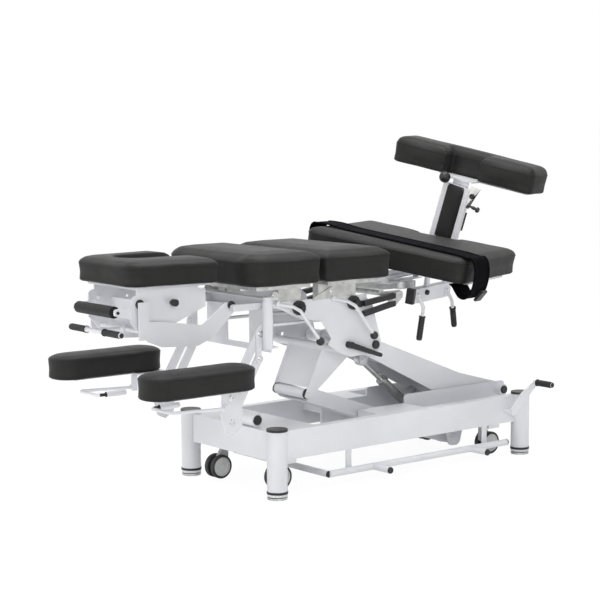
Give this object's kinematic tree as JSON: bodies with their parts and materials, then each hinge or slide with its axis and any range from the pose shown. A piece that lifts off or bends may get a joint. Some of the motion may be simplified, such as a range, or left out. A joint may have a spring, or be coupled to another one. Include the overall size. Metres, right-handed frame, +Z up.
{
  "type": "chiropractic table",
  "caption": "Height-adjustable chiropractic table with drop sections, a tilting head section, swinging armrests, a swivelling leg section and a raised ankle cushion.",
  "frame": {"origin": "on the floor, under the middle of the table's bounding box", "axes": "+X towards the foot end, +Y towards the far side, +Z up"},
  "size_m": [2.17, 0.8994, 1.3053],
  "materials": {
    "white_coat": "satin powder coat",
    "vinyl": "matt grained vinyl",
    "black_plastic": "matt",
    "castor_fork": "semi gloss",
    "castor_tread": "matt grey tread with pale discs",
    "zinc": "zinc plated",
    "lever_steel": "gloss coat with black grips",
    "webbing": "woven nylon"
  },
  "bodies": {
    "base": {"side_rails": "white_coat", "base_deck": "white_coat", "corner_legs": "white_coat", "leg_fittings": "black_plastic"},
    "foot_bar": {"foot_bar": "white_coat"},
    "castor_beams": {"castor_beams": "white_coat"},
    "castor_lever": {"castor_lever": "white_coat"},
    "lift_arm": {"lift_arm": "white_coat"},
    "lower_link": {"lower_link": "white_coat"},
    "actuator_body": {"actuator_body": "black_plastic"},
    "actuator_rod": {"actuator_rod": "zinc"},
    "upper": {"side_plates": "white_coat", "upper_frame": "white_coat", "leg_hinge_plates": "zinc"},
    "thoracic": {"thoracic_cushion": "vinyl", "thoracic_plate": "white_coat"},
    "pelvic": {"pelvic_cushion": "vinyl", "pelvic_plate": "white_coat"},
    "thoracic_wheel": {"thoracic_wheel": "black_plastic"},
    "pelvic_wheel": {"pelvic_wheel": "black_plastic"},
    "thoracic_lever": {"thoracic_lever": "lever_steel"},
    "pelvic_lever": {"pelvic_lever": "lever_steel"},
    "clamp_lever": {"clamp_lever": "black_plastic"},
    "head_arm": {"head_arm": "white_coat"},
    "head_tray": {"head_tray": "white_coat", "head_cushion": "vinyl"},
    "chin_roller": {"chin_roller": "vinyl"},
    "head_handle": {"head_handle": "lever_steel"},
    "pull_pin": {"pull_pin": "black_plastic"},
    "leg_hinge": {"leg_hinge": "white_coat"},
    "leg_swing": {"leg_swing": "white_coat"},
    "leg_rest": {"leg_frame": "white_coat", "leg_cushion": "vinyl", "leg_strap": "webbing"},
    "leg_handle_head": {"leg_handle_head": "lever_steel"},
    "leg_handle_foot": {"leg_handle_foot": "lever_steel"},
    "ankle_post": {"ankle_post": "white_coat"},
    "ankle_top": {"ankle_bracket": "white_coat", "ankle_cushion": "vinyl"},
    "ankle_knob": {"ankle_knob": "black_plastic"},
    "castor_fork_head_near": {"castor_fork_head_near": "castor_fork"},
    "castor_wheels_head_near": {"castor_wheels_head_near": "castor_tread"},
    "castor_fork_head_far": {"castor_fork_head_far": "castor_fork"},
    "castor_wheels_head_far": {"castor_wheels_head_far": "castor_tread"},
    "castor_fork_foot_near": {"castor_fork_foot_near": "castor_fork"},
    "castor_wheels_foot_near": {"castor_wheels_foot_near": "castor_tread"},
    "castor_fork_foot_far": {"castor_fork_foot_far": "castor_fork"},
    "castor_wheels_foot_far": {"castor_wheels_foot_far": "castor_tread"},
    "near_rest_swivel": {"near_rest_swivel": "white_coat"},
    "near_rest_upper_bar": {"near_rest_upper_bar": "white_coat"},
    "near_rest_lower_bar": {"near_rest_lower_bar": "white_coat"},
    "near_rest_lever": {"near_rest_lever": "lever_steel"},
    "near_rest_pad": {"near_rest_bracket": "white_coat", "near_rest_cushion": "vinyl"},
    "far_rest_swivel": {"far_rest_swivel": "white_coat"},
    "far_rest_upper_bar": {"far_rest_upper_bar": "white_coat"},
    "far_rest_lower_bar": {"far_rest_lower_bar": "white_coat"},
    "far_rest_lever": {"far_rest_lever": "lever_steel"},
    "far_rest_pad": {"far_rest_bracket": "white_coat", "far_rest_cushion": "vinyl"}
  },
  "joints": [
    {"name": "foot_bar_press", "type": "slide", "parent": "base", "child": "foot_bar", "axis": [0, 0, -1], "range_m": [0, 0.006], "stiffness_N_per_m": 20000, "springref_m": -0.012},
    {"name": "castor_drop", "type": "slide", "parent": "base", "child": "castor_beams", "axis": [0, 0, -1], "range_m": [0, 0.008]},
    {"name": "castor_pedal", "type": "hinge", "parent": "base", "child": "castor_lever", "pos_m": [0.69996, -0.03092, 0.188], "axis": [0, 1, 0], "range_deg": [0, 36.7]},
    {"name": "castor_swivel_head_near", "type": "hinge", "parent": "castor_beams", "child": "castor_fork_head_near", "pos_m": [-0.41304, -0.18092, 0.06], "axis": [0, 0, 1], "continuous": true},
    {"name": "castor_roll_head_near", "type": "hinge", "parent": "castor_fork_head_near", "child": "castor_wheels_head_near", "pos_m": [-0.38304, -0.18092, 0.0485], "axis": [0, 1, 0], "continuous": true},
    {"name": "castor_swivel_head_far", "type": "hinge", "parent": "castor_beams", "child": "castor_fork_head_far", "pos_m": [-0.41304, 0.11908, 0.06], "axis": [0, 0, 1], "continuous": true},
    {"name": "castor_roll_head_far", "type": "hinge", "parent": "castor_fork_head_far", "child": "castor_wheels_head_far", "pos_m": [-0.44304, 0.11908, 0.0485], "axis": [0, 1, 0], "continuous": true},
    {"name": "castor_swivel_foot_near", "type": "hinge", "parent": "castor_beams", "child": "castor_fork_foot_near", "pos_m": [0.64796, -0.22092, 0.06], "axis": [0, 0, 1], "continuous": true},
    {"name": "castor_roll_foot_near", "type": "hinge", "parent": "castor_fork_foot_near", "child": "castor_wheels_foot_near", "pos_m": [0.67796, -0.22092, 0.0485], "axis": [0, 1, 0], "continuous": true},
    {"name": "castor_swivel_foot_far", "type": "hinge", "parent": "castor_beams", "child": "castor_fork_foot_far", "pos_m": [0.64796, 0.15908, 0.06], "axis": [0, 0, 1], "continuous": true},
    {"name": "castor_roll_foot_far", "type": "hinge", "parent": "castor_fork_foot_far", "child": "castor_wheels_foot_far", "pos_m": [0.67796, 0.15908, 0.0485], "axis": [0, 1, 0], "continuous": true},
    {"name": "lift", "type": "hinge", "parent": "base", "child": "lift_arm", "pos_m": [0.80696, -0.03092, 0.25], "axis": [0, 1, 0], "range_deg": [-14.7, 0]},
    {"name": "lower_link_turn", "type": "hinge", "parent": "base", "child": "lower_link", "pos_m": [0.55796, -0.03092, 0.069], "axis": [0, 1, 0], "range_deg": [-14.7, 0]},
    {"name": "upper_level", "type": "hinge", "parent": "lift_arm", "child": "upper", "pos_m": [0.05196, -0.03092, 0.515], "axis": [0, 1, 0], "range_deg": [0, 14.7]},
    {"name": "actuator_tilt", "type": "hinge", "parent": "base", "child": "actuator_body", "pos_m": [0.49696, -0.03092, 0.135], "axis": [0, 1, 0], "range_deg": [-22.4, 0]},
    {"name": "actuator_stroke", "type": "slide", "parent": "actuator_body", "child": "actuator_rod", "axis": [-0.769, 0, 0.6393], "range_m": [-0.064, 0]},
    {"name": "thoracic_drop", "type": "slide", "parent": "upper", "child": "thoracic", "axis": [0, 0, 1], "range_m": [0, 0.015]},
    {"name": "thoracic_cocking", "type": "hinge", "parent": "upper", "child": "thoracic_lever", "pos_m": [-0.42804, -0.03092, 0.7085], "axis": [0, 1, 0], "range_deg": [-35, 0]},
    {"name": "thoracic_tension", "type": "hinge", "parent": "upper", "child": "thoracic_wheel", "pos_m": [-0.32804, -0.03092, 0.687], "axis": [0, 1, 0], "continuous": true},
    {"name": "pelvic_drop", "type": "slide", "parent": "upper", "child": "pelvic", "axis": [0, 0, 1], "range_m": [0, 0.015]},
    {"name": "pelvic_cocking", "type": "hinge", "parent": "upper", "child": "pelvic_lever", "pos_m": [-0.16404, -0.03092, 0.7085], "axis": [0, 1, 0], "range_deg": [-35, 0]},
    {"name": "pelvic_tension", "type": "hinge", "parent": "upper", "child": "pelvic_wheel", "pos_m": [-0.06404, -0.03092, 0.687], "axis": [0, 1, 0], "continuous": true},
    {"name": "clamp_turn", "type": "hinge", "parent": "upper", "child": "clamp_lever", "pos_m": [-0.08604, -0.03092, 0.527], "axis": [0, 1, 0], "range_deg": [-30, 10]},
    {"name": "head_tilt", "type": "hinge", "parent": "upper", "child": "head_arm", "pos_m": [-0.59904, -0.03092, 0.704], "axis": [0, 1, 0], "range_deg": [-25, 20]},
    {"name": "tray_tilt", "type": "hinge", "parent": "head_arm", "child": "head_tray", "pos_m": [-0.97204, -0.03092, 0.742], "axis": [0, 1, 0], "range_deg": [-10, 0]},
    {"name": "roller_spin", "type": "hinge", "parent": "head_tray", "child": "chin_roller", "pos_m": [-1.06404, -0.03092, 0.718], "axis": [0, 1, 0], "continuous": true},
    {"name": "head_release", "type": "hinge", "parent": "head_tray", "child": "head_handle", "pos_m": [-0.95954, -0.03092, 0.643], "axis": [0, 1, 0], "range_deg": [0, 10]},
    {"name": "pull_pin_pull", "type": "slide", "parent": "head_tray", "child": "pull_pin", "axis": [0, -1, 0], "range_m": [0, 0.01], "stiffness_N_per_m": 400, "springref_m": -0.01},
    {"name": "near_rest_swing", "type": "hinge", "parent": "upper", "child": "near_rest_swivel", "pos_m": [-0.49304, -0.26892, 0.64], "axis": [0, 0, 1], "range_deg": [0, 80]},
    {"name": "near_rest_raise", "type": "hinge", "parent": "near_rest_swivel", "child": "near_rest_lower_bar", "pos_m": [-0.51604, -0.03092, 0.515], "axis": [0, 1, 0], "range_deg": [-5, 45]},
    {"name": "near_rest_raise_upper", "type": "hinge", "parent": "near_rest_swivel", "child": "near_rest_upper_bar", "pos_m": [-0.51604, -0.03092, 0.606], "axis": [0, 1, 0], "range_deg": [-5, 45]},
    {"name": "near_rest_pad_level", "type": "hinge", "parent": "near_rest_lower_bar", "child": "near_rest_pad", "pos_m": [-0.64404, -0.03092, 0.297], "axis": [0, 1, 0], "range_deg": [-45, 5]},
    {"name": "near_rest_release", "type": "hinge", "parent": "near_rest_pad", "child": "near_rest_lever", "pos_m": [-0.72704, -0.03092, 0.368], "axis": [0, 1, 0], "range_deg": [0, 4]},
    {"name": "far_rest_swing", "type": "hinge", "parent": "upper", "child": "far_rest_swivel", "pos_m": [-0.49304, 0.20708, 0.64], "axis": [0, 0, 1], "range_deg": [-80, 0]},
    {"name": "far_rest_raise", "type": "hinge", "parent": "far_rest_swivel", "child": "far_rest_lower_bar", "pos_m": [-0.51604, -0.03092, 0.515], "axis": [0, 1, 0], "range_deg": [-5, 45]},
    {"name": "far_rest_raise_upper", "type": "hinge", "parent": "far_rest_swivel", "child": "far_rest_upper_bar", "pos_m": [-0.51604, -0.03092, 0.606], "axis": [0, 1, 0], "range_deg": [-5, 45]},
    {"name": "far_rest_pad_level", "type": "hinge", "parent": "far_rest_lower_bar", "child": "far_rest_pad", "pos_m": [-0.64404, -0.03092, 0.297], "axis": [0, 1, 0], "range_deg": [-45, 5]},
    {"name": "far_rest_release", "type": "hinge", "parent": "far_rest_pad", "child": "far_rest_lever", "pos_m": [-0.72704, -0.03092, 0.368], "axis": [0, 1, 0], "range_deg": [0, 4]},
    {"name": "leg_flex", "type": "hinge", "parent": "upper", "child": "leg_hinge", "pos_m": [0.17696, -0.03092, 0.703], "axis": [0, 1, 0], "range_deg": [0, 12]},
    {"name": "leg_yaw", "type": "hinge", "parent": "leg_hinge", "child": "leg_swing", "pos_m": [0.36396, -0.03092, 0.713], "axis": [0, 0, 1], "range_deg": [-43.2, 0]},
    {"name": "leg_roll", "type": "hinge", "parent": "leg_swing", "child": "leg_rest", "pos_m": [0.36396, -0.03092, 0.75066], "axis": [0.9298, 0.3681, 0], "range_deg": [-23.6, 6.4]},
    {"name": "leg_handle_head_squeeze", "type": "hinge", "parent": "leg_rest", "child": "leg_handle_head", "pos_m": [0.29852, -0.21336, 0.6801], "axis": [-0.364, 0.9193, 0.1495], "range_deg": [-12, 0]},
    {"name": "leg_handle_foot_squeeze", "type": "hinge", "parent": "leg_rest", "child": "leg_handle_foot", "pos_m": [0.54678, -0.11507, 0.6801], "axis": [-0.364, 0.9193, 0.1495], "range_deg": [-12, 0]},
    {"name": "ankle_slide", "type": "slide", "parent": "leg_rest", "child": "ankle_post", "axis": [0.9298, 0.3681, 0], "range_m": [0, 0.1]},
    {"name": "ankle_height", "type": "slide", "parent": "ankle_post", "child": "ankle_top", "axis": [0.1064, -0.2687, 0.9573], "range_m": [-0.015, 0.08]},
    {"name": "ankle_knob_pull", "type": "slide", "parent": "ankle_top", "child": "ankle_knob", "axis": [-0.9298, -0.3681, 0], "range_m": [0, 0.008], "stiffness_N_per_m": 400, "springref_m": -0.01}
  ],
  "couplings": [
    {"joint": "castor_pedal", "follows": "castor_drop", "rad_per_m": 80},
    {"joint": "lower_link_turn", "follows": "lift", "ratio": 1},
    {"joint": "upper_level", "follows": "lift", "ratio": -1},
    {"joint": "actuator_tilt", "follows": "lift", "ratio": 1.52},
    {"joint": "actuator_stroke", "follows": "lift", "m_per_rad": 0.249},
    {"joint": "thoracic_cocking", "follows": "thoracic_drop", "rad_per_m": -40.7},
    {"joint": "pelvic_cocking", "follows": "pelvic_drop", "rad_per_m": -40.7},
    {"joint": "near_rest_raise_upper", "follows": "near_rest_raise", "ratio": 1},
    {"joint": "near_rest_pad_level", "follows": "near_rest_raise", "ratio": -1},
    {"joint": "far_rest_raise_upper", "follows": "far_rest_raise", "ratio": 1},
    {"joint": "far_rest_pad_level", "follows": "far_rest_raise", "ratio": -1}
  ]
}
